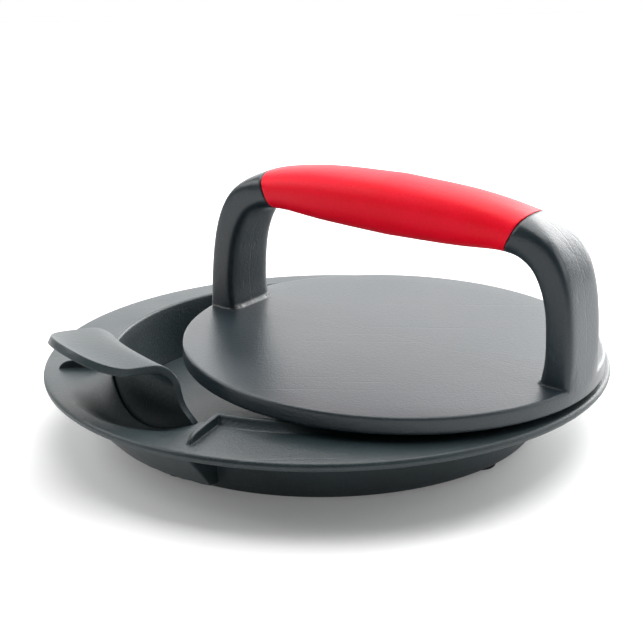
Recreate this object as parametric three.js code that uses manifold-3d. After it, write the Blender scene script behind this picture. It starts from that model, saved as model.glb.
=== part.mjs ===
// Patty press: a flanged bowl, a lift plate with a finger tab, and a loose press with a bridge handle.
// Millimetres, +Z up. The origin is on the bowl's axis, at the height of the table it stands on.
import * as THREE from "three";
import { mergeVertices } from "three/addons/utils/BufferGeometryUtils.js";
import Module from "manifold-3d";

const wasm = await Module();
wasm.setup();

// ---- Driving dimensions ----

const pieceGap = 0.3; // air left between pieces that touch

// Bowl
const mouthRadius = 60.3;
const mouthHeight = 22.2; // top of the lip above the table
const bowlDraft = 2.0; // how much smaller the bowl is at its floor
const wallThickness = 2.2;
const floorThickness = 2.0;
const footStandOff = 1.0; // how far the pads hold the body off the table
const bodyEdgeRadius = 0.8;

// Flange and lip
const flangeReach = 19.9; // from the bowl's mouth to the rim
const flangeThickness = 2.4;
const flangeFall = 0.7; // the flange is this much lower at its rim
const lipRise = 2.5;
const lipCrest = 1.8;
const lipSlope = 1.2;

// Finger trough under the tab
const troughAngle = 216; // degrees about +Z from +X
const troughHalfAngle = 27.4;
const pocketHalfAngle = 26.5;
const ribThickness = 1.6;
const ribEndInset = 4.4; // from the rim
const ribEndDrop = 1.0;
const troughFloorHeight = 12.5;
const troughDishDrop = 1.5; // gentle fall from the rim to the finger hollow
const hollowHalfWidth = 25.0;
const hollowReach = 17.0; // of the hollow outwards from the bowl's wall
const hollowEase = 1.3; // more rounds the hollow's edge off further
const troughRimWidth = 3.6; // flange left standing outside the trough
const pocketBottomReach = 3.9; // from the bowl's mouth
const pocketBottomHeight = 3.0;
const pocketTopInset = 2.8; // from the rim

// Lift plate
const plateThickness = 2.6;
const plateClearance = 0.7;
const plateAngle = 212.3;
const neckThickness = 2.1;
const neckDraft = 0.2;
const neckHalfWidth = 18.2;
const neckFootHalfWidth = 24.3;
const neckFlareHeight = 17.5; // above this height the neck narrows
const neckFlareLength = 3.6;
const neckPlay = 0.4;
const tabRise = 12.5; // top of the tab above the lip, before it turns up
const tabHalfWidth = 19.0;
const tabOverhang = 0.5; // past the rim
const tabTipRound = 8.2; // length of the rounded end
const tabTipRise = 2.8;
const tabCrown = 1.2; // the tab's middle stands above its edges

// Foot pads
const padNames = ["front_left", "front_right", "back_right", "back_left"];
const padRadius = 4.4;
const padThickness = 1.8;
const padInset = 2.9; // of the pads' middles from the edge of the bowl's floor
const padFirstAngle = 226;
const padClearance = 0.25;

// Press
const pressPlay = 2.1; // between the press and the bowl's mouth, all round
const pressHeight = 4.6;
const pressSkin = 1.6;
const pressRim = 1.4;
const pressEdge = 0.8;
const faceClearance = 0.2;
const faceInset = 1.5; // the press's rim stands this far below its flat face
const pressOffset = 21.5; // it lies pushed this far off the bowl's axis
const pressOffsetAngle = -31.7;
const pressTilt = 1.95; // its rim crosses the lip on the left and its face rests on the lip on the right
const handleAngle = -35;

// Handle
const handleWidth = 18.2;
const handleRise = 46.0; // top of the grip above the top of the press
const legDepth = 8.0;
const legSquareness = 7.0; // of the section: 2 is an ellipse, more is boxier
const shoulderReach = 19.6; // from the edge of the press to the grip's joint, at mid height
const jointLean = 25; // degrees, the joints lean outwards at the top
const gripWidth = 20.0;
const gripDepth = 16.4;
const gripEndDepth = 10.6;
const gripSquareness = 2.5;
const coreWidth = 9.0;
const coreDepth = 5.2;
const coreReach = 4.0; // how far the core runs into each shoulder
const coreClearance = 0.25;

// Screws that hold the press face, one up each leg
const screwInset = 4.9; // from the edge of the press to a screw's middle
const screwRadius = 1.25;
const screwLength = 15.0;
const screwHeadRadius = 2.3;
const screwHeadHeight = 1.0;
const screwClearance = 0.2;
const bossHalfWidth = 3.2; // solid plastic left round each screw
const coringDepth = 24.0;
const coringWall = 1.9;

// ---- Derived dimensions ----

const bodyBottom = footStandOff;
const floorTop = bodyBottom + floorThickness;
const floorRadius = mouthRadius - bowlDraft;
const flangeRadius = mouthRadius + flangeReach;
const ribEndRadius = flangeRadius - ribEndInset;
const pocketBottomRadius = mouthRadius + pocketBottomReach;
const pocketTopRadius = flangeRadius - pocketTopInset;
const flangeTopAtLip = mouthHeight - lipRise;
const flangeTopAtRim = flangeTopAtLip - flangeFall;
const lipFootRadius = mouthRadius + lipCrest + lipSlope;
const rimRound = flangeThickness / 2;
const flangeMiddle = flangeTopAtRim - rimRound;
const plateBottom = floorTop + pieceGap;
const plateTop = plateBottom + plateThickness;
const plateRadius = floorRadius - plateClearance;
const troughOuterRadius = flangeRadius - troughRimWidth;
const neckFootRadius = floorRadius + pieceGap;
const tabHeight = mouthHeight + tabRise;
const tabTipRadius = flangeRadius + tabOverhang;
const padCircleRadius = floorRadius - padInset;
const pressRadius = mouthRadius - pressPlay;
const gripHalfLength = pressRadius - shoulderReach;
const pressBottom = mouthHeight + pieceGap + 0.05;
const recessTop = pressHeight - pressSkin;
const faceTop = recessTop - faceClearance;
const faceRadius = pressRadius - pressRim - faceClearance;
const handleTop = pressHeight + handleRise;
const screwPlace = pressRadius - screwInset;
const screwBore = screwRadius + screwClearance;
const degrees = Math.PI / 180;
const lathed = 72; // sides of the big round pieces

// ---- Materials ----

const darkPlastic = new THREE.MeshStandardMaterial({ color: 0x2f3638, roughness: 0.48, metalness: 0 });
const redGrip = new THREE.MeshStandardMaterial({ color: 0xd4122a, roughness: 0.42, metalness: 0 });
const footRubber = new THREE.MeshStandardMaterial({ color: 0x1c1d1e, roughness: 0.85, metalness: 0 });
const screwSteel = new THREE.MeshStandardMaterial({ color: 0xa9acb0, roughness: 0.3, metalness: 1 });

// ---- Helpers ----

// A closed geometry as a solid that can be joined and cut.
function solidOf(geometry) {
  const bare = new THREE.BufferGeometry();
  bare.setAttribute("position", geometry.getAttribute("position").clone());
  bare.setIndex(geometry.getIndex());
  const merged = mergeVertices(bare, 1e-4);
  const index = merged.getIndex().array;
  const triangles = [];
  for (let i = 0; i < index.length; i += 3) {
    const [a, b, c] = [index[i], index[i + 1], index[i + 2]];
    if (a !== b && b !== c && c !== a) triangles.push(a, b, c);
  }
  const vertProperties = Float32Array.from(merged.getAttribute("position").array);
  const mesh = new wasm.Mesh({ numProp: 3, vertProperties, triVerts: Uint32Array.from(triangles) });
  return new wasm.Manifold(mesh);
}

// The solid's triangles as a geometry.
function geometryOf(solid) {
  const mesh = solid.getMesh();
  const geometry = new THREE.BufferGeometry();
  const positions = new Float32Array(mesh.numVert * 3);
  for (let i = 0; i < mesh.numVert; i += 1) {
    for (let k = 0; k < 3; k += 1) positions[3 * i + k] = mesh.vertProperties[i * mesh.numProp + k];
  }
  geometry.setAttribute("position", new THREE.BufferAttribute(positions, 3));
  geometry.setIndex(Array.from(mesh.triVerts));
  geometry.computeVertexNormals();
  return geometry;
}

// A round piece about +Z from an outline of (radius, height) points that starts and ends on the axis.
function turned(outline, sides = lathed) {
  return new THREE.LatheGeometry(outline, sides).rotateX(Math.PI / 2);
}

// Points along an arc in an outline, from one angle to another, both in degrees.
function arc(centreX, centreY, radius, fromAngle, toAngle, steps) {
  const points = [];
  for (let i = 0; i <= steps; i += 1) {
    const angle = (fromAngle + ((toAngle - fromAngle) * i) / steps) * degrees;
    points.push(new THREE.Vector2(centreX + radius * Math.cos(angle), centreY + radius * Math.sin(angle)));
  }
  return points;
}

function point(x, y) {
  return new THREE.Vector2(x, y);
}

// A value that goes smoothly from 0 to 1 as x goes from low to high.
function smooth(x, low, high) {
  return THREE.MathUtils.smoothstep(x, low, high);
}

// A closed solid between an upper and a lower surface, each a function of (row, column) fractions.
function between(upper, lower, rows, columns) {
  const positions = [];
  const index = [];
  const count = (rows + 1) * (columns + 1);
  for (const surface of [upper, lower]) {
    for (let i = 0; i <= rows; i += 1) {
      for (let j = 0; j <= columns; j += 1) positions.push(...surface(i / rows, j / columns).toArray());
    }
  }
  const top = (i, j) => i * (columns + 1) + j;
  const bottom = (i, j) => count + top(i, j);
  const quad = (a, b, c, d) => index.push(a, b, c, a, c, d);
  for (let i = 0; i < rows; i += 1) {
    for (let j = 0; j < columns; j += 1) {
      quad(top(i, j), top(i + 1, j), top(i + 1, j + 1), top(i, j + 1));
      quad(bottom(i, j), bottom(i, j + 1), bottom(i + 1, j + 1), bottom(i + 1, j));
    }
    quad(top(i + 1, 0), top(i, 0), bottom(i, 0), bottom(i + 1, 0));
    quad(top(i, columns), top(i + 1, columns), bottom(i + 1, columns), bottom(i, columns));
  }
  for (let j = 0; j < columns; j += 1) {
    quad(top(0, j), top(0, j + 1), bottom(0, j + 1), bottom(0, j));
    quad(top(rows, j + 1), top(rows, j), bottom(rows, j), bottom(rows, j + 1));
  }
  const geometry = new THREE.BufferGeometry();
  geometry.setAttribute("position", new THREE.Float32BufferAttribute(positions, 3));
  geometry.setIndex(index);
  return geometry;
}

// A point on a circle about +Z; the angle is in degrees.
function polar(radius, angle, height) {
  return new THREE.Vector3(radius * Math.cos(angle * degrees), radius * Math.sin(angle * degrees), height);
}

// A block of a ring between two radii, two angles and two heights, which may depend on the radius.
function ringBlock(innerRadius, outerRadius, fromAngle, toAngle, lowHeight, highHeight, columns = 12) {
  const low = typeof lowHeight === "function" ? lowHeight : () => lowHeight;
  const high = typeof highHeight === "function" ? highHeight : () => highHeight;
  const place = (row, column, height) => {
    const radius = innerRadius + (outerRadius - innerRadius) * row;
    const angle = fromAngle + (toAngle - fromAngle) * column;
    return polar(radius, angle, height(radius, angle));
  };
  const upper = (row, column) => place(row, column, high);
  const lower = (row, column) => place(row, column, low);
  return between(upper, lower, 1, columns);
}

function named(name, geometry, material) {
  const mesh = new THREE.Mesh(geometry, material);
  mesh.name = name;
  return mesh;
}

// ---- Base bowl ----

// Top of the flange at a radius.
function flangeTop(radius) {
  const along = (radius - lipFootRadius) / (flangeRadius - lipFootRadius);
  return flangeTopAtLip - flangeFall * THREE.MathUtils.clamp(along, 0, 1);
}

function bowlOutline() {
  const bodyRadius = floorRadius + wallThickness;
  const bodyTopRadius = mouthRadius + wallThickness;
  const crestRound = lipCrest / 2;
  return [
    point(0, bodyBottom),
    ...arc(bodyRadius - bodyEdgeRadius, bodyBottom + bodyEdgeRadius, bodyEdgeRadius, -90, 0, 2),
    point(bodyTopRadius, flangeTopAtLip - flangeThickness),
    ...arc(flangeRadius - rimRound, flangeMiddle, rimRound, -90, 90, 6),
    point(lipFootRadius, flangeTopAtLip),
    ...arc(mouthRadius + crestRound, mouthHeight - crestRound, crestRound, 0, 180, 6),
    point(floorRadius, floorTop),
    point(0, floorTop),
  ];
}

// The trough's surface at a radius and an angle: a shallow dish with a finger hollow next to the bowl.
function troughSurface(radius, angle) {
  const reach = troughOuterRadius - mouthRadius;
  const inward = THREE.MathUtils.clamp((troughOuterRadius - radius) / reach, 0, 1);
  const aside = Math.abs(angle - troughAngle) / troughHalfAngle;
  const dish = troughDishDrop * smooth(inward, 0, 0.6) * (1 - 0.6 * aside ** 2);
  const across = ((angle - troughAngle) * degrees * mouthRadius) / hollowHalfWidth;
  const along = Math.max(radius - mouthRadius, 0) / hollowReach;
  const inside = Math.max(1 - across ** 2 - along ** 2, 0);
  const depth = flangeTopAtLip - troughFloorHeight - troughDishDrop;
  return flangeTop(radius) - dish - depth * inside ** hollowEase;
}

// The block of plastic that the trough is sunk into, below the flange.
function pocketBlock() {
  const underside = (radius) => {
    const along = (radius - pocketBottomRadius) / (pocketTopRadius - pocketBottomRadius);
    return pocketBottomHeight + (flangeMiddle - pocketBottomHeight) * THREE.MathUtils.clamp(along, 0, 1);
  };
  const from = troughAngle - pocketHalfAngle;
  const to = troughAngle + pocketHalfAngle;
  const inner = floorRadius + 1;
  const near = ringBlock(inner, pocketBottomRadius, from, to, pocketBottomHeight, flangeMiddle, 10);
  const far = ringBlock(pocketBottomRadius, pocketTopRadius - 0.4, from, to, underside, flangeMiddle, 10);
  return solidOf(near).add(solidOf(far));
}

function troughSide(radius) {
  return troughHalfAngle - ribThickness / 2 / radius / degrees;
}

function troughCut() {
  const place = (row, column, high) => {
    const radius = neckFootRadius + (troughOuterRadius - neckFootRadius) * row;
    const angle = troughAngle + troughSide(radius) * (2 * column - 1);
    return polar(radius, angle, high ? mouthHeight + 5 : troughSurface(radius, angle));
  };
  const upper = (row, column) => place(row, column, true);
  const lower = (row, column) => place(row, column, false);
  return solidOf(between(upper, lower, 16, 40));
}

// The inner face of the lift plate's neck at a height.
function neckRadius(height) {
  return neckFootRadius + (neckDraft * (height - floorTop)) / (mouthHeight - floorTop);
}

// The slot in the bowl's wall that the neck stands in. It follows the neck's draft.
function neckSlot() {
  const halfAngle = (neckFootHalfWidth + neckPlay) / neckFootRadius / degrees;
  const place = (row, column, height) => {
    const outer = neckRadius(height) + neckThickness + neckPlay;
    const radius = floorRadius - 2 + (outer - floorRadius + 2) * row;
    return polar(radius, plateAngle + halfAngle * (2 * column - 1), height);
  };
  const upper = (row, column) => place(row, column, mouthHeight + 5);
  const lower = (row, column) => place(row, column, floorTop);
  return solidOf(between(upper, lower, 1, 14));
}

// A rib carries the lip outwards along each side of the trough and ends rounded, short of the rim.
function troughRib(side) {
  const angle = troughAngle + side * troughHalfAngle;
  const start = mouthRadius + 0.3;
  const top = (along) => {
    const end = Math.sqrt(1 - THREE.MathUtils.clamp((along - 0.8) / 0.2, 0, 1) ** 2);
    const crest = mouthHeight - ribEndDrop * along;
    return flangeMiddle + (crest - flangeMiddle) * (0.25 + 0.75 * end);
  };
  const place = (row, column, height, width) => {
    const radius = start + (ribEndRadius - start) * Math.sin((row * Math.PI) / 2);
    return polar(radius, angle, height).add(polar((column - 0.5) * width, angle + 90, 0));
  };
  const upper = (row, column) => place(row, column, top(Math.sin((row * Math.PI) / 2)), ribThickness * 0.7);
  const lower = (row, column) => place(row, column, flangeMiddle, ribThickness);
  return solidOf(between(upper, lower, 14, 1));
}

function padPlace(i) {
  return polar(padCircleRadius, padFirstAngle + (i * 360) / padNames.length, 0);
}

function padRecess(place) {
  const depth = padThickness - footStandOff + padClearance;
  const radius = padRadius + padClearance;
  const recess = new THREE.CylinderGeometry(radius, radius, 2 * depth, 28).rotateX(Math.PI / 2);
  return solidOf(recess.translate(place.x, place.y, bodyBottom));
}

function baseBowl() {
  let bowl = solidOf(turned(bowlOutline())).add(pocketBlock()).subtract(troughCut());
  for (const side of [-1, 1]) bowl = bowl.add(troughRib(side));
  bowl = bowl.subtract(neckSlot());
  for (let i = 0; i < padNames.length; i += 1) bowl = bowl.subtract(padRecess(padPlace(i)));
  return named("base_bowl", geometryOf(bowl), darkPlastic);
}

// A round anti-slip pad pressed into its recess.
function footPads() {
  const edge = 0.3;
  const outline = [
    point(0, 0),
    point(padRadius - edge, 0),
    point(padRadius, edge),
    point(padRadius, padThickness),
    point(0, padThickness),
  ];
  return padNames.map((name, i) => {
    const pad = named(`foot_pad_${name}`, turned(outline, 28), footRubber);
    pad.position.copy(padPlace(i));
    return pad;
  });
}

// ---- Lift plate ----
// Modelled with its tab along +X.

// The neck and the tab are one curved sheet. Its inner face runs up the bowl's wall, over the crest and
// out along the tab; the path is given as (radius, 0, height).
function sheetPath() {
  const start = neckRadius(mouthHeight);
  const upright = [plateBottom, plateBottom + 6, plateBottom + 12, mouthHeight];
  const points = upright.map((height) => new THREE.Vector3(neckRadius(height), 0, height));
  // Share of the way to the tip, millimetres below the tab's height, share of the tip's rise.
  const profile = [
    [0.003, 8.2, 0],
    [0.01, 6.2, 0],
    [0.037, 4.8, 0],
    [0.073, 3.6, 0],
    [0.123, 2.4, 0],
    [0.215, 1.1, 0],
    [0.306, 0.4, 0],
    [0.406, 0.15, 0],
    [0.511, 0, 0],
    [0.626, 0, 0.07],
    [0.74, 0, 0.2],
    [0.877, 0, 0.5],
    [1, 0, 1],
  ];
  for (const [share, below, rise] of profile) {
    const radius = start + (tabTipRadius - start) * share;
    points.push(new THREE.Vector3(radius, 0, tabHeight - below + tabTipRise * rise));
  }
  return new THREE.CatmullRomCurve3(points, false, "centripetal");
}

function sheetHalfWidth(radius, height) {
  const flare = Math.exp(-Math.max(height - neckFlareHeight, 0) / neckFlareLength);
  const neck = neckHalfWidth + (neckFootHalfWidth - neckHalfWidth) * flare;
  const onTab = smooth(radius, mouthRadius - 0.5, mouthRadius + 7);
  const straight = neck + (tabHalfWidth - neck) * onTab;
  const along = THREE.MathUtils.clamp((radius - tabTipRadius + tabTipRound) / tabTipRound, 0, 1);
  return straight * Math.sqrt(Math.max(1 - along ** 1.85, 0.002));
}

function neckAndTab() {
  const path = sheetPath();
  const inner = (row, column) => {
    const at = path.getPointAt(row);
    const crown = tabCrown * smooth(at.z, mouthHeight - 4, mouthHeight + 4);
    const width = sheetHalfWidth(at.x, at.z - crown / 2) * (2 * column - 1);
    const spot = polar(at.x, width / at.x / degrees, at.z);
    spot.z -= crown * (width / tabHalfWidth) ** 2;
    return spot;
  };
  // How the sheet faces is taken from the plain path, so the tip's outline does not disturb it.
  const facing = (row, column) => {
    const at = path.getPointAt(row);
    const angle = (sheetHalfWidth(at.x, at.z) * (2 * column - 1)) / at.x;
    const along = path.getTangentAt(row);
    return new THREE.Vector3(-along.z * Math.cos(angle), -along.z * Math.sin(angle), along.x);
  };
  const face = (depth) => (row, column) => {
    // Rows bunch towards the tip so that its outline comes out round.
    const spread = row < 0.6 ? row * 1.25 : 0.75 + 0.25 * Math.sin(((row - 0.6) / 0.4) * (Math.PI / 2));
    const edge = Math.sin(((2 * column - 1) * Math.PI) / 2) * 0.5 + 0.5;
    return inner(spread, edge).addScaledVector(facing(spread, edge), -depth);
  };
  return between(face(0), face(neckThickness), 46, 12);
}

// Joins the neck's foot to the floor disc.
function neckWeb() {
  const inner = plateRadius - 3;
  const outer = neckFootRadius + neckThickness / 2;
  const angle = (neckFootHalfWidth - 0.4) / neckFootRadius / degrees;
  return ringBlock(inner, outer, -angle, angle, plateBottom, plateTop, 10);
}

function liftPlate() {
  const edge = 0.5;
  const outline = [
    point(0, plateBottom),
    point(plateRadius - edge, plateBottom),
    point(plateRadius, plateBottom + edge),
    point(plateRadius, plateTop - edge),
    point(plateRadius - edge, plateTop),
    point(0, plateTop),
  ];
  const plate = solidOf(turned(outline)).add(solidOf(neckWeb())).add(solidOf(neckAndTab()));
  return named("lift_plate", geometryOf(plate), darkPlastic);
}

// ---- Press ----
// Modelled about its own axis with its underside at height 0 and the handle along X.

function pressDiscOutline() {
  return [
    point(0, recessTop),
    point(pressRadius - pressRim, recessTop),
    point(pressRadius - pressRim, 0),
    point(pressRadius - 0.3, 0),
    point(pressRadius, 0.3),
    ...arc(pressRadius - pressEdge, pressHeight - pressEdge, pressEdge, 0, 90, 3),
    point(0, pressHeight),
  ];
}

// Half of the handle's outer outline, from the press up to the crown, as (along, 0, height).
function handleOuter() {
  const side = pressRadius;
  const top = handleTop;
  return new THREE.CatmullRomCurve3(
    [
      new THREE.Vector3(side, 0, 0),
      new THREE.Vector3(side - 0.2, 0, top * 0.14),
      new THREE.Vector3(side - 0.6, 0, top * 0.3),
      new THREE.Vector3(side - 1.3, 0, top * 0.45),
      new THREE.Vector3(side - 2.6, 0, top * 0.59),
      new THREE.Vector3(side - 4.9, 0, top * 0.715),
      new THREE.Vector3(side - 8.2, 0, top * 0.81),
      new THREE.Vector3(side - 13.0, 0, top * 0.88),
      new THREE.Vector3(side - 19.0, 0, top * 0.925),
      new THREE.Vector3(side * 0.42, 0, top * 0.975),
      new THREE.Vector3(0, 0, top),
    ],
    false,
    "centripetal",
  );
}

// Half of the handle's inner outline, from the press up to the middle of the grip.
function handleInner() {
  const side = pressRadius - legDepth;
  const shoulder = handleTop * 0.925 - gripEndDepth;
  return new THREE.CatmullRomCurve3(
    [
      new THREE.Vector3(side - 1.6, 0, 0),
      new THREE.Vector3(side - 1.3, 0, pressHeight + 0.6),
      new THREE.Vector3(side - 0.5, 0, handleTop * 0.2),
      new THREE.Vector3(side - 0.6, 0, handleTop * 0.34),
      new THREE.Vector3(side - 1.4, 0, handleTop * 0.48),
      new THREE.Vector3(side - 3.3, 0, handleTop * 0.59),
      new THREE.Vector3(side - 6.0, 0, handleTop * 0.67),
      new THREE.Vector3(side - 10.4, 0, shoulder - 0.1),
      new THREE.Vector3(side - 14.6, 0, shoulder - 0.1),
      new THREE.Vector3(side * 0.42, 0, handleTop - gripDepth + 0.7),
      new THREE.Vector3(0, 0, handleTop - gripDepth),
    ],
    false,
    "centripetal",
  );
}

const outerLine = handleOuter().getSpacedPoints(36).map((at) => point(at.x, at.z));
const innerLine = handleInner().getSpacedPoints(36).map((at) => point(at.x, at.z));

// Both halves of an outline, from the right foot to the left foot.
function wholeLine(half) {
  const other = half.slice(0, -1).map((at) => point(-at.x, at.y));
  return [...half, ...other.reverse()];
}

// Height of an outline's upper part where it is a given distance along the handle.
function heightAt(line, along) {
  for (let i = line.length - 1; i > 0; i -= 1) {
    const [a, b] = [line[i], line[i - 1]];
    if (a.x <= along && along <= b.x) return a.y + ((b.y - a.y) * (along - a.x)) / (b.x - a.x);
  }
  return line[line.length - 1].y;
}

function box(sizeX, sizeY, sizeZ, x, y, z) {
  return solidOf(new THREE.BoxGeometry(sizeX, sizeY, sizeZ).translate(x, y, z));
}

// A solid through a row of convex rings that all have the same number of points.
function loft(rings) {
  const around = rings[0].length;
  const last = (rings.length - 1) * around;
  const index = [];
  for (let i = 0; i < last; i += around) {
    for (let j = 0; j < around; j += 1) {
      const next = (j + 1) % around;
      index.push(i + j, i + around + next, i + next, i + j, i + around + j, i + around + next);
    }
  }
  for (let j = 1; j < around - 1; j += 1) index.push(0, j, j + 1, last, last + j + 1, last + j);
  const geometry = new THREE.BufferGeometry();
  const positions = rings.flat().flatMap((at) => at.toArray());
  geometry.setAttribute("position", new THREE.Float32BufferAttribute(positions, 3));
  geometry.setIndex(index);
  return solidOf(geometry);
}

// The whole handle as one bar: boxy legs that turn into a full, round grip.
function handleBar() {
  const around = 28;
  const [outer, inner] = [wholeLine(outerLine), wholeLine(innerLine)];
  const rings = outer.map((out, i) => {
    const along = Math.abs(out.x + inner[i].x) / 2;
    const toGrip = 1 - smooth(along, gripHalfLength - 4, pressRadius - legDepth / 2);
    const power = 2 / (legSquareness + (gripSquareness - legSquareness) * toGrip);
    const fullness = Math.max(1 - (along / gripHalfLength) ** 2, 0);
    const halfWidth = (handleWidth + (gripWidth - handleWidth) * fullness) / 2;
    const ring = [];
    for (let j = 0; j < around; j += 1) {
      const angle = (2 * Math.PI * (j + 0.5)) / around;
      const [cosine, sine] = [Math.cos(angle), Math.sin(angle)];
      const across = Math.sign(cosine) * Math.abs(cosine) ** power * halfWidth;
      const share = 0.5 + (Math.sign(sine) * Math.abs(sine) ** power) / 2;
      const x = inner[i].x + (out.x - inner[i].x) * share;
      const z = inner[i].y + (out.y - inner[i].y) * share;
      ring.push(new THREE.Vector3(x, across, z));
    }
    return ring;
  });
  const aboveRecess = [
    point(0, recessTop),
    point(pressRadius, recessTop),
    point(pressRadius, handleTop + 5),
    point(0, handleTop + 5),
  ];
  return loft(rings).intersect(solidOf(turned(aboveRecess)));
}

// The space between the two leaning joints, made shorter at both ends by a gap.
function gripSpace(gap) {
  const middle = gripMiddle(gripHalfLength);
  const lean = Math.tan(jointLean * degrees);
  const place = (row, column, height) => {
    const reach = gripHalfLength - gap + (height - middle) * lean;
    return new THREE.Vector3(reach * (2 * row - 1), 2 * handleWidth * (column - 0.5), height);
  };
  const upper = (row, column) => place(row, column, handleTop + 5);
  const lower = (row, column) => place(row, column, middle - 16);
  return solidOf(between(upper, lower, 1, 1));
}

// Middle height of the grip where it is a given distance along the handle.
function gripMiddle(along) {
  const place = Math.min(Math.abs(along), gripHalfLength);
  return (heightAt(outerLine, place) + heightAt(innerLine, place)) / 2;
}

// The bar inside the grip, or the room for it when some clearance is given.
function gripCore(reach, clearance) {
  const place = (row, column, side) => {
    const along = reach * (2 * row - 1);
    const height = gripMiddle(along) + side * (coreDepth / 2 + clearance);
    return new THREE.Vector3(along, (column - 0.5) * (coreWidth + 2 * clearance), height);
  };
  const upper = (row, column) => place(row, column, 1);
  const lower = (row, column) => place(row, column, -1);
  return solidOf(between(upper, lower, 16, 1));
}

// The pockets that keep the legs from being too thick, on either side of each screw.
function legCoring(side) {
  const inner = pressRadius - legDepth + coringWall;
  const outer = pressRadius - pressRim - 1;
  const width = handleWidth / 2 - bossHalfWidth - coringWall;
  const length = coringDepth + 1;
  const middle = side * ((inner + outer) / 2);
  const height = recessTop + coringDepth - length / 2;
  const near = box(outer - inner, width, length, middle, bossHalfWidth + width / 2, height);
  const far = box(outer - inner, width, length, middle, -bossHalfWidth - width / 2, height);
  return near.add(far);
}

function upright(radius, length, x, bottom) {
  const rod = new THREE.CylinderGeometry(radius, radius, length, 20).rotateX(Math.PI / 2);
  return solidOf(rod.translate(x, 0, bottom + length / 2));
}

function pressBody() {
  let body = solidOf(turned(pressDiscOutline())).add(handleBar().subtract(gripSpace(0)));
  body = body.add(gripCore(gripHalfLength + coreReach, 0));
  for (const side of [-1, 1]) {
    body = body.subtract(legCoring(side));
    body = body.subtract(upright(screwBore, screwLength + 1, side * screwPlace, faceInset));
  }
  return named("press_body", geometryOf(body), darkPlastic);
}

// The inset plate that closes the cored underside.
function pressFace() {
  const edge = 0.3;
  const outline = [
    point(0, faceInset),
    point(faceRadius - edge, faceInset),
    point(faceRadius, faceInset + edge),
    point(faceRadius, faceTop),
    point(0, faceTop),
  ];
  let face = solidOf(turned(outline));
  const widest = screwHeadRadius + screwClearance;
  const sink = [
    point(0, faceInset - 1),
    point(widest, faceInset - 1),
    point(widest, faceInset),
    point(screwBore, faceInset + screwHeadHeight),
    point(screwBore, faceTop + 1),
    point(0, faceTop + 1),
  ];
  for (const side of [-1, 1]) {
    const hole = turned(sink, 20).translate(side * screwPlace, 0, 0);
    face = face.subtract(solidOf(hole));
  }
  return named("press_face", geometryOf(face), darkPlastic);
}

// A countersunk screw, its head flush with the press face.
function faceScrew(name, side) {
  const tip = 1.2;
  const outline = [
    point(0, 0.1),
    point(screwHeadRadius, 0.1),
    point(screwRadius, screwHeadHeight),
    point(screwRadius, screwLength - tip),
    point(0.3, screwLength),
    point(0, screwLength),
  ];
  return named(name, turned(outline, 20).translate(side * screwPlace, 0, faceInset), screwSteel);
}

// The soft sleeve round the core.
function gripSleeve() {
  const room = gripCore(gripHalfLength + 12, coreClearance);
  const sleeve = handleBar().intersect(gripSpace(pieceGap)).subtract(room);
  return named("grip_sleeve", geometryOf(sleeve), redGrip);
}

// ---- Assembly ----

const liftPlateMesh = liftPlate();
liftPlateMesh.rotation.z = plateAngle * degrees;

const press = new THREE.Group();
press.add(pressBody(), pressFace(), gripSleeve());
press.add(faceScrew("face_screw_left", -1), faceScrew("face_screw_right", 1));
press.position.copy(polar(pressOffset, pressOffsetAngle, pressBottom));
press.rotation.set(0, pressTilt * degrees, handleAngle * degrees, "ZYX");

const pattyPress = new THREE.Group();
pattyPress.add(baseBowl(), ...footPads(), liftPlateMesh, press);

export default pattyPress;
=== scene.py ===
import bpy
import math
from mathutils import Matrix, Vector


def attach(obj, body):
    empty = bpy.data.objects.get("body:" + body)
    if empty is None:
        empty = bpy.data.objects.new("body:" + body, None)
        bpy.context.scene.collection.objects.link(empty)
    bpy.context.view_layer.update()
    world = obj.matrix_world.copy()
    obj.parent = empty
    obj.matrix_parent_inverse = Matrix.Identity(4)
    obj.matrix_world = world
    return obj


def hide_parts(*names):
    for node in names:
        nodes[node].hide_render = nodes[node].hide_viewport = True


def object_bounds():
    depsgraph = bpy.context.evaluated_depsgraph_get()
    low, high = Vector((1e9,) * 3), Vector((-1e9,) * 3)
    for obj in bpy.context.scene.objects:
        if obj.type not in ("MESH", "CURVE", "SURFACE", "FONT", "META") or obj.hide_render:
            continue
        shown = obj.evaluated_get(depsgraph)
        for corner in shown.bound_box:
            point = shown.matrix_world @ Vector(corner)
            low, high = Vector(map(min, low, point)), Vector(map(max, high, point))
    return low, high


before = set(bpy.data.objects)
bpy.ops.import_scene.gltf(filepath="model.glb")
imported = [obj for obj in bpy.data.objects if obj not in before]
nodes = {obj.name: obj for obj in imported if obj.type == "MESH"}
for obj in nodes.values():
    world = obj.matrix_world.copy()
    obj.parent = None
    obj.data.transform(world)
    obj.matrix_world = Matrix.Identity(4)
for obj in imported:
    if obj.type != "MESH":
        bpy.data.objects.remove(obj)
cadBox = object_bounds()
print("frame loaded:", len(nodes), "nodes")


def addNode(tree, kind, **settings):
    node = tree.nodes.new(kind)
    for key, value in settings.items():
        setattr(node, key, value)
    return node


def addMath(tree, operation, first, second, clamp=False):
    node = addNode(tree, "ShaderNodeMath", operation=operation, use_clamp=clamp)
    for place, value in enumerate((first, second)):
        if isinstance(value, (int, float)):
            node.inputs[place].default_value = value
        else:
            tree.links.new(value, node.inputs[place])
    return node.outputs[0]


# runs a value from one range into another, and holds it there
def addRange(tree, value, low, high, toLow, toHigh):
    node = addNode(tree, "ShaderNodeMapRange", clamp=True)
    tree.links.new(value, node.inputs["Value"])
    ends = (("From Min", low), ("From Max", high), ("To Min", toLow), ("To Max", toHigh))
    for key, number in ends:
        node.inputs[key].default_value = number
    return node.outputs[0]


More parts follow.
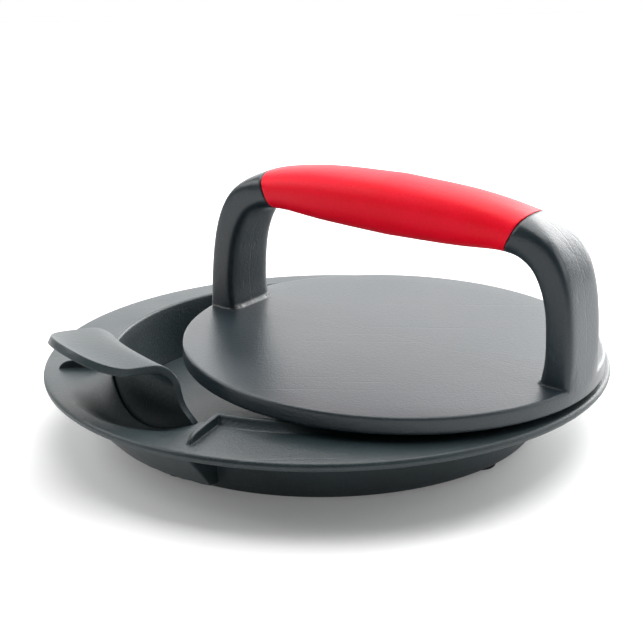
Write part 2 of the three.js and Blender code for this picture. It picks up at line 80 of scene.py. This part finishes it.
def addNoise(tree, vector, scale, detail=3.0, roughness=0.6):
    noise = addNode(tree, "ShaderNodeTexNoise")
    tree.links.new(vector, noise.inputs["Vector"])
    if isinstance(scale, (int, float)):
        noise.inputs["Scale"].default_value = scale
    else:
        tree.links.new(scale, noise.inputs["Scale"])
    noise.inputs["Detail"].default_value = detail
    noise.inputs["Roughness"].default_value = roughness
    return noise.outputs["Fac"]


def mixColour(tree, factor, first, second):
    node = addNode(tree, "ShaderNodeMix", data_type="RGBA")
    for place, value in ((0, factor), (6, first), (7, second)):
        if isinstance(value, tuple):
            node.inputs[place].default_value = value + (1.0,)
        else:
            tree.links.new(value, node.inputs[place])
    return node.outputs[2]


def startGroup(name, inputs, outputs):
    group = bpy.data.node_groups.new(name, "ShaderNodeTree")
    for label, start in inputs.items():
        socket = group.interface.new_socket(name=label, in_out="INPUT", socket_type="NodeSocketFloat")
        socket.default_value = start
    for label, kind in outputs.items():
        group.interface.new_socket(name=label, in_out="OUTPUT", socket_type="NodeSocket" + kind)
    return group, group.nodes.new("NodeGroupInput"), group.nodes.new("NodeGroupOutput")


def objectPlace(tree):
    return addNode(tree, "ShaderNodeTexCoord").outputs["Object"]


# spark-eroded mould texture: a fine grain, and slow clouds of gloss and tone
def makeGrainGroup():
    group, start, end = startGroup("mouldGrain", {"Grain Scale": 2400.0, "Cloud Scale": 28.0},
                                   {"Grain": "Float", "Cloud": "Float", "Height": "Float"})
    place = objectPlace(group)
    grain = addNoise(group, place, start.outputs["Grain Scale"], 2.5, 0.7)
    cells = addNode(group, "ShaderNodeTexVoronoi", feature="SMOOTH_F1")
    group.links.new(place, cells.inputs["Vector"])
    cellScale = addMath(group, "MULTIPLY", start.outputs["Grain Scale"], 0.55)  # cells are coarser
    group.links.new(cellScale, cells.inputs["Scale"])
    cloud = addNoise(group, place, start.outputs["Cloud Scale"], 3.0, 0.55)
    fine = addMath(group, "MULTIPLY", grain, 0.6)
    coarse = addMath(group, "MULTIPLY", cells.outputs["Distance"], 0.5)
    group.links.new(grain, end.inputs["Grain"])
    group.links.new(cloud, end.inputs["Cloud"])
    group.links.new(addMath(group, "ADD", fine, coarse), end.inputs["Height"])
    return group


# edges: a softened normal, and a mask along every edge, hollow ones too, that paints a light highlight there,
# broken into patches like rubbed wear
def makeEdgeGroup():
    group, start, end = startGroup("edgeHighlightAndWear", {"Radius": 0.0006, "Breakup Scale": 260.0},
                                   {"Edge": "Float", "Normal": "Vector"})
    bevel = addNode(group, "ShaderNodeBevel", samples=6)
    group.links.new(start.outputs["Radius"], bevel.inputs["Radius"])
    dot = addNode(group, "ShaderNodeVectorMath", operation="DOT_PRODUCT")
    group.links.new(bevel.outputs["Normal"], dot.inputs[0])
    group.links.new(addNode(group, "ShaderNodeNewGeometry").outputs["Normal"], dot.inputs[1])
    edge = addRange(group, dot.outputs["Value"], 0.99, 0.8, 0.0, 1.0)
    patches = addNoise(group, objectPlace(group), start.outputs["Breakup Scale"], 4.0, 0.65)
    breakup = addRange(group, patches, 0.38, 0.66, 0.25, 1.0)
    group.links.new(addMath(group, "MULTIPLY", edge, breakup, True), end.inputs["Edge"])
    group.links.new(bevel.outputs["Normal"], end.inputs["Normal"])
    return group


# handling: thin hair scratches in two directions, and specks of dust
def makeScuffGroup():
    group, start, end = startGroup("handlingMarks", {"Scratch Scale": 90.0, "Speck Scale": 700.0},
                                   {"Scratches": "Float", "Specks": "Float"})
    place = objectPlace(group)
    lines = []
    for turn in (0.5, -0.9):
        mapping = addNode(group, "ShaderNodeMapping")
        group.links.new(place, mapping.inputs["Vector"])
        mapping.inputs["Rotation"].default_value = (0.2, 0.1, turn)
        mapping.inputs["Scale"].default_value = (0.12, 6.0, 2.0)  # drawn out into hairs
        hairs = addNoise(group, mapping.outputs["Vector"], start.outputs["Scratch Scale"], 2.0, 0.5)
        lines.append(addRange(group, hairs, 0.66, 0.74, 0.0, 1.0))
    group.links.new(addMath(group, "MAXIMUM", lines[0], lines[1]), end.inputs["Scratches"])
    specks = addNode(group, "ShaderNodeTexVoronoi", feature="F1")
    group.links.new(place, specks.inputs["Vector"])
    group.links.new(start.outputs["Speck Scale"], specks.inputs["Scale"])
    dots = addRange(group, specks.outputs["Distance"], 0.1, 0.03, 0.0, 1.0)
    group.links.new(dots, end.inputs["Specks"])
    return group


grainGroup = makeGrainGroup()
edgeGroup = makeEdgeGroup()
scuffGroup = makeScuffGroup()
print("shader groups made")


def placeGroup(tree, group, values):
    node = addNode(tree, "ShaderNodeGroup", node_tree=group)
    for key, value in values.items():
        node.inputs[key].default_value = value
    return node.outputs


# colours run from deep to pale with the grain, roughness from smooth to rough with the clouds; the worn colour
# is painted along every edge as a highlight, and on scratches and dust specks as real wear
finishes = {
    "darkPlastic": {
        "deep": (0.009, 0.018, 0.021), "pale": (0.023, 0.039, 0.044), "wearAndHighlight": (0.08, 0.104, 0.11),
        "smooth": 0.33, "rough": 0.45, "metal": 0.0, "specular": 0.5, "grainScale": 2500.0,
        "cloudScale": 26.0, "bump": 0.55, "grainDepth": 0.00018, "edge": 0.0007},
    "discPlastic": {
        "deep": (0.011, 0.019, 0.024), "pale": (0.024, 0.037, 0.045), "wearAndHighlight": (0.08, 0.104, 0.11),
        "smooth": 0.25, "rough": 0.33, "metal": 0.0, "specular": 0.5, "grainScale": 2700.0,
        "cloudScale": 20.0, "bump": 0.45, "grainDepth": 0.00014, "edge": 0.0011,
        "seam": {"centre": (0.0183, -0.0113, 0.0), "turn": -35.0, "width": 0.00028}},
    "redGrip": {
        "deep": (0.85, 0.0, 0.01), "pale": (1.0, 0.0, 0.026), "wearAndHighlight": (1.0, 0.05, 0.07),
        "smooth": 0.36, "rough": 0.48, "metal": 0.0, "specular": 0.2, "grainScale": 1500.0,
        "cloudScale": 34.0, "bump": 0.3, "grainDepth": 0.00015, "edge": 0.0005},
    "footRubber": {
        "deep": (0.006, 0.006, 0.007), "pale": (0.015, 0.015, 0.017), "wearAndHighlight": (0.04, 0.04, 0.042),
        "smooth": 0.7, "rough": 0.9, "metal": 0.0, "specular": 0.35, "grainScale": 1800.0,
        "cloudScale": 60.0, "bump": 0.4, "grainDepth": 0.00008, "edge": 0.0004},
    "screwSteel": {
        "deep": (0.42, 0.42, 0.43), "pale": (0.62, 0.62, 0.62), "wearAndHighlight": (0.8, 0.8, 0.8),
        "smooth": 0.22, "rough": 0.42, "metal": 1.0, "specular": 0.5, "grainScale": 3600.0,
        "cloudScale": 200.0, "bump": 0.1, "grainDepth": 0.00002, "edge": 0.0003},
}


# the fine line that the two halves of the mould leave, in the handle's own plane
def addSeam(tree, seam):
    mapping = addNode(tree, "ShaderNodeMapping", vector_type="TEXTURE")
    tree.links.new(objectPlace(tree), mapping.inputs["Vector"])
    mapping.inputs["Location"].default_value = seam["centre"]
    mapping.inputs["Rotation"].default_value = (0.0, 0.0, math.radians(seam["turn"]))
    parts = addNode(tree, "ShaderNodeSeparateXYZ")
    tree.links.new(mapping.outputs["Vector"], parts.inputs["Vector"])
    away = addMath(tree, "ABSOLUTE", parts.outputs["Y"], 0.0)
    return addRange(tree, away, seam["width"] * 0.4, seam["width"], 1.0, 0.0)


def makeFinish(name):
    look = finishes[name]
    material = bpy.data.materials.new(name)
    material.use_nodes = True
    tree = material.node_tree
    shader = tree.nodes["Principled BSDF"]
    grain = placeGroup(tree, grainGroup, {"Grain Scale": look["grainScale"], "Cloud Scale": look["cloudScale"]})
    edge = placeGroup(tree, edgeGroup, {"Radius": look["edge"]})
    scuff = placeGroup(tree, scuffGroup, {})

    tone = addMath(tree, "ADD", addMath(tree, "MULTIPLY", grain["Grain"], 0.45),
                   addMath(tree, "MULTIPLY", grain["Cloud"], 0.55))
    colour = mixColour(tree, addRange(tree, tone, 0.36, 0.64, 0.0, 1.0), look["deep"], look["pale"])
    # painted highlight: the edge mask lightens every edge toward the worn colour; the scratches and dust specks
    # are real wear
    wearAndEdgeHighlight = addMath(tree, "ADD", addMath(tree, "MULTIPLY", edge["Edge"], 0.3),
                     addMath(tree, "MULTIPLY", scuff["Scratches"], 0.07), True)
    wearAndEdgeHighlight = addMath(tree, "ADD", wearAndEdgeHighlight, addMath(tree, "MULTIPLY", scuff["Specks"], 0.05), True)
    tree.links.new(mixColour(tree, wearAndEdgeHighlight, colour, look["wearAndHighlight"]), shader.inputs["Base Color"])

    rough = addRange(tree, grain["Cloud"], 0.3, 0.7, look["smooth"], look["rough"])
    rough = addMath(tree, "ADD", rough, addMath(tree, "MULTIPLY", grain["Grain"], 0.06))
    rough = addMath(tree, "SUBTRACT", rough, addMath(tree, "MULTIPLY", edge["Edge"], 0.05), True)
    tree.links.new(rough, shader.inputs["Roughness"])
    shader.inputs["Metallic"].default_value = look["metal"]
    shader.inputs["Specular IOR Level"].default_value = look["specular"]

    height = addMath(tree, "SUBTRACT", grain["Height"], addMath(tree, "MULTIPLY", scuff["Scratches"], 0.3))
    if "seam" in look:
        line = addMath(tree, "MULTIPLY", addSeam(tree, look["seam"]), 0.25)
        height = addMath(tree, "SUBTRACT", height, line)
    bump = addNode(tree, "ShaderNodeBump")
    bump.inputs["Strength"].default_value = look["bump"]
    bump.inputs["Distance"].default_value = look["grainDepth"]
    tree.links.new(height, bump.inputs["Height"])
    tree.links.new(edge["Normal"], bump.inputs["Normal"])
    tree.links.new(bump.outputs["Normal"], shader.inputs["Normal"])
    return material


def paint(piece, material):
    for slot in piece.material_slots:
        slot.material = material
    if not piece.material_slots:
        piece.data.materials.append(material)


finishOf = {"base_bowl": "darkPlastic", "lift_plate": "darkPlastic", "press_body": "discPlastic",
            "press_face": "darkPlastic", "grip_sleeve": "redGrip", "foot_pad": "footRubber",
            "face_screw": "screwSteel"}
made = {name: makeFinish(name) for name in finishes}
for name, node in nodes.items():
    for start, finish in finishOf.items():
        if name.startswith(start):
            paint(node, made[finish])
print("finishes placed")


# pieces that show most are copied, their facets rounded and their sharp edges kept
smoothing = {
    "grip_sleeve": {"crease": 35.0, "levels": 2, "slot": "red_grip", "body": "press"},
    "press_body": {"crease": 28.0, "levels": 1, "slot": "dark_plastic", "body": "press"},
    "lift_plate": {"crease": 28.0, "levels": 1, "slot": "dark_plastic", "body": "plate"},
    "base_bowl": {"crease": 28.0, "levels": 1, "slot": "dark_plastic", "body": "base"},
}


def finerCopy(name):
    values = smoothing[name]
    source = nodes[name]
    bpy.ops.object.select_all(action="DESELECT")
    piece = source.copy()
    piece.data = source.data.copy()
    piece.name = name + "Fine"
    piece.parent = None
    bpy.context.collection.objects.link(piece)
    bpy.context.view_layer.objects.active = piece
    piece.select_set(True)
    bpy.ops.object.mode_set(mode="EDIT")
    bpy.ops.mesh.select_all(action="SELECT")
    bpy.ops.mesh.customdata_custom_splitnormals_clear()
    bpy.ops.mesh.remove_doubles(threshold=0.00001)
    bpy.ops.mesh.tris_convert_to_quads(face_threshold=math.radians(30), shape_threshold=math.radians(60))
    bpy.ops.mesh.select_all(action="DESELECT")
    bpy.ops.mesh.select_mode(type="EDGE")
    bpy.ops.mesh.edges_select_sharp(sharpness=math.radians(values["crease"]))
    bpy.ops.transform.edge_crease(value=0.85)
    bpy.ops.object.mode_set(mode="OBJECT")
    smoother = piece.modifiers.new("smoother", "SUBSURF")
    smoother.levels = values["levels"]
    smoother.render_levels = values["levels"]
    bpy.ops.object.modifier_apply(modifier="smoother")
    bpy.ops.object.shade_smooth_by_angle(angle=math.radians(30))
    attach(piece, values["body"])
    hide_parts(name)
    print(piece.name, len(piece.data.polygons), "faces")


for name in smoothing:
    finerCopy(name)


cameraView = {"target": (-0.0013, 0.0, 0.0284), "distance": 0.4, "elevation": 17.95,
              "roll": -0.92, "lens": 78.52}


def placeCamera():
    rise = math.radians(cameraView["elevation"])
    roll = math.radians(cameraView["roll"])
    back = Vector((0, -math.cos(rise), math.sin(rise)))
    side = Vector((1, 0, 0))
    over = side.cross(-back)
    right = math.cos(roll) * side + math.sin(roll) * over
    up = -math.sin(roll) * side + math.cos(roll) * over
    data = bpy.data.cameras.new("viewCamera")
    data.lens = cameraView["lens"]
    data.sensor_width = 36
    data.sensor_fit = "HORIZONTAL"
    data.clip_start = 0.01
    camera = bpy.data.objects.new("viewCamera", data)
    bpy.context.collection.objects.link(camera)
    spot = Vector(cameraView["target"]) + cameraView["distance"] * back
    camera.matrix_world = Matrix(((right.x, up.x, back.x, spot.x), (right.y, up.y, back.y, spot.y),
                                  (right.z, up.z, back.z, spot.z), (0, 0, 0, 1)))
    bpy.context.scene.camera = camera


# soft boxes, with the brightness of their faces as glow
lamps = {
    "backdrop": {"place": (0.1, 1.1, 0.5), "aim": (0.0, 0.0, 0.1), "size": (2.6, 1.0), "glow": 2.1},
    "overhead": {"place": (0.15, 0.3, 1.0), "aim": (0.0, 0.0, 0.0), "size": (1.2, 1.0), "glow": 4.2},
    "backRight": {"place": (0.72, 0.78, 0.42), "aim": (0.05, 0.0, 0.06), "size": (0.8, 0.8), "glow": 7.0},
    "rightSide": {"place": (0.9, -0.1, 0.45), "aim": (0.05, 0.0, 0.03), "size": (0.5, 0.6), "glow": 2.8},
    "leftSide": {"place": (-0.8, 0.1, 0.6), "aim": (-0.05, 0.0, 0.02), "size": (0.6, 0.6), "glow": 4.0},
}
studio = {"ambient": 0.1, "background": 1.0}


def placeLights():
    for name, lamp in lamps.items():
        data = bpy.data.lights.new(name, "AREA")
        data.shape = "RECTANGLE"
        data.size, data.size_y = lamp["size"]
        data.energy = lamp["glow"] * math.pi * data.size * data.size_y
        light = bpy.data.objects.new(name, data)
        bpy.context.collection.objects.link(light)
        light.location = lamp["place"]
        turn = (Vector(lamp["aim"]) - Vector(lamp["place"])).to_track_quat("-Z", "Y")
        light.rotation_euler = turn.to_euler()
        light.visible_camera = False
    world = bpy.data.worlds.new("studio")
    world.use_nodes = True
    tree = world.node_tree
    shade = tree.nodes["Background"]
    shade.inputs["Color"].default_value = (1.0, 1.0, 1.0, 1.0)
    seen = addNode(tree, "ShaderNodeLightPath").outputs["Is Camera Ray"]
    strength = addRange(tree, seen, 0.0, 1.0, studio["ambient"], studio["background"])
    tree.links.new(strength, shade.inputs["Strength"])
    bpy.context.scene.world = world
    bpy.context.scene.view_settings.view_transform = "Standard"  # keeps the grip's red clear


floorLook = {"size": 2.2, "dim": (0.8, 0.8, 0.8), "bright": (0.84, 0.84, 0.84), "glow": 0.14, "rough": 0.7}


def placeFloor():
    bpy.ops.object.select_all(action="DESELECT")
    bpy.ops.mesh.primitive_plane_add(size=floorLook["size"], location=(0, 0, cadBox[0][2]))
    floor = bpy.context.object
    floor.name = "floor"
    material = bpy.data.materials.new("paleFloor")
    material.use_nodes = True
    tree = material.node_tree
    shader = tree.nodes["Principled BSDF"]
    tone = addRange(tree, addNoise(tree, objectPlace(tree), 3.0), 0.3, 0.7, 0.0, 1.0)
    colour = mixColour(tree, tone, floorLook["dim"], floorLook["bright"])
    tree.links.new(colour, shader.inputs["Base Color"])
    shader.inputs["Roughness"].default_value = floorLook["rough"]
    shader.inputs["Emission Color"].default_value = (1.0, 1.0, 1.0, 1.0)
    shader.inputs["Emission Strength"].default_value = floorLook["glow"]
    paint(floor, material)


placeCamera()
placeLights()
placeFloor()
print("camera, light and floor placed")
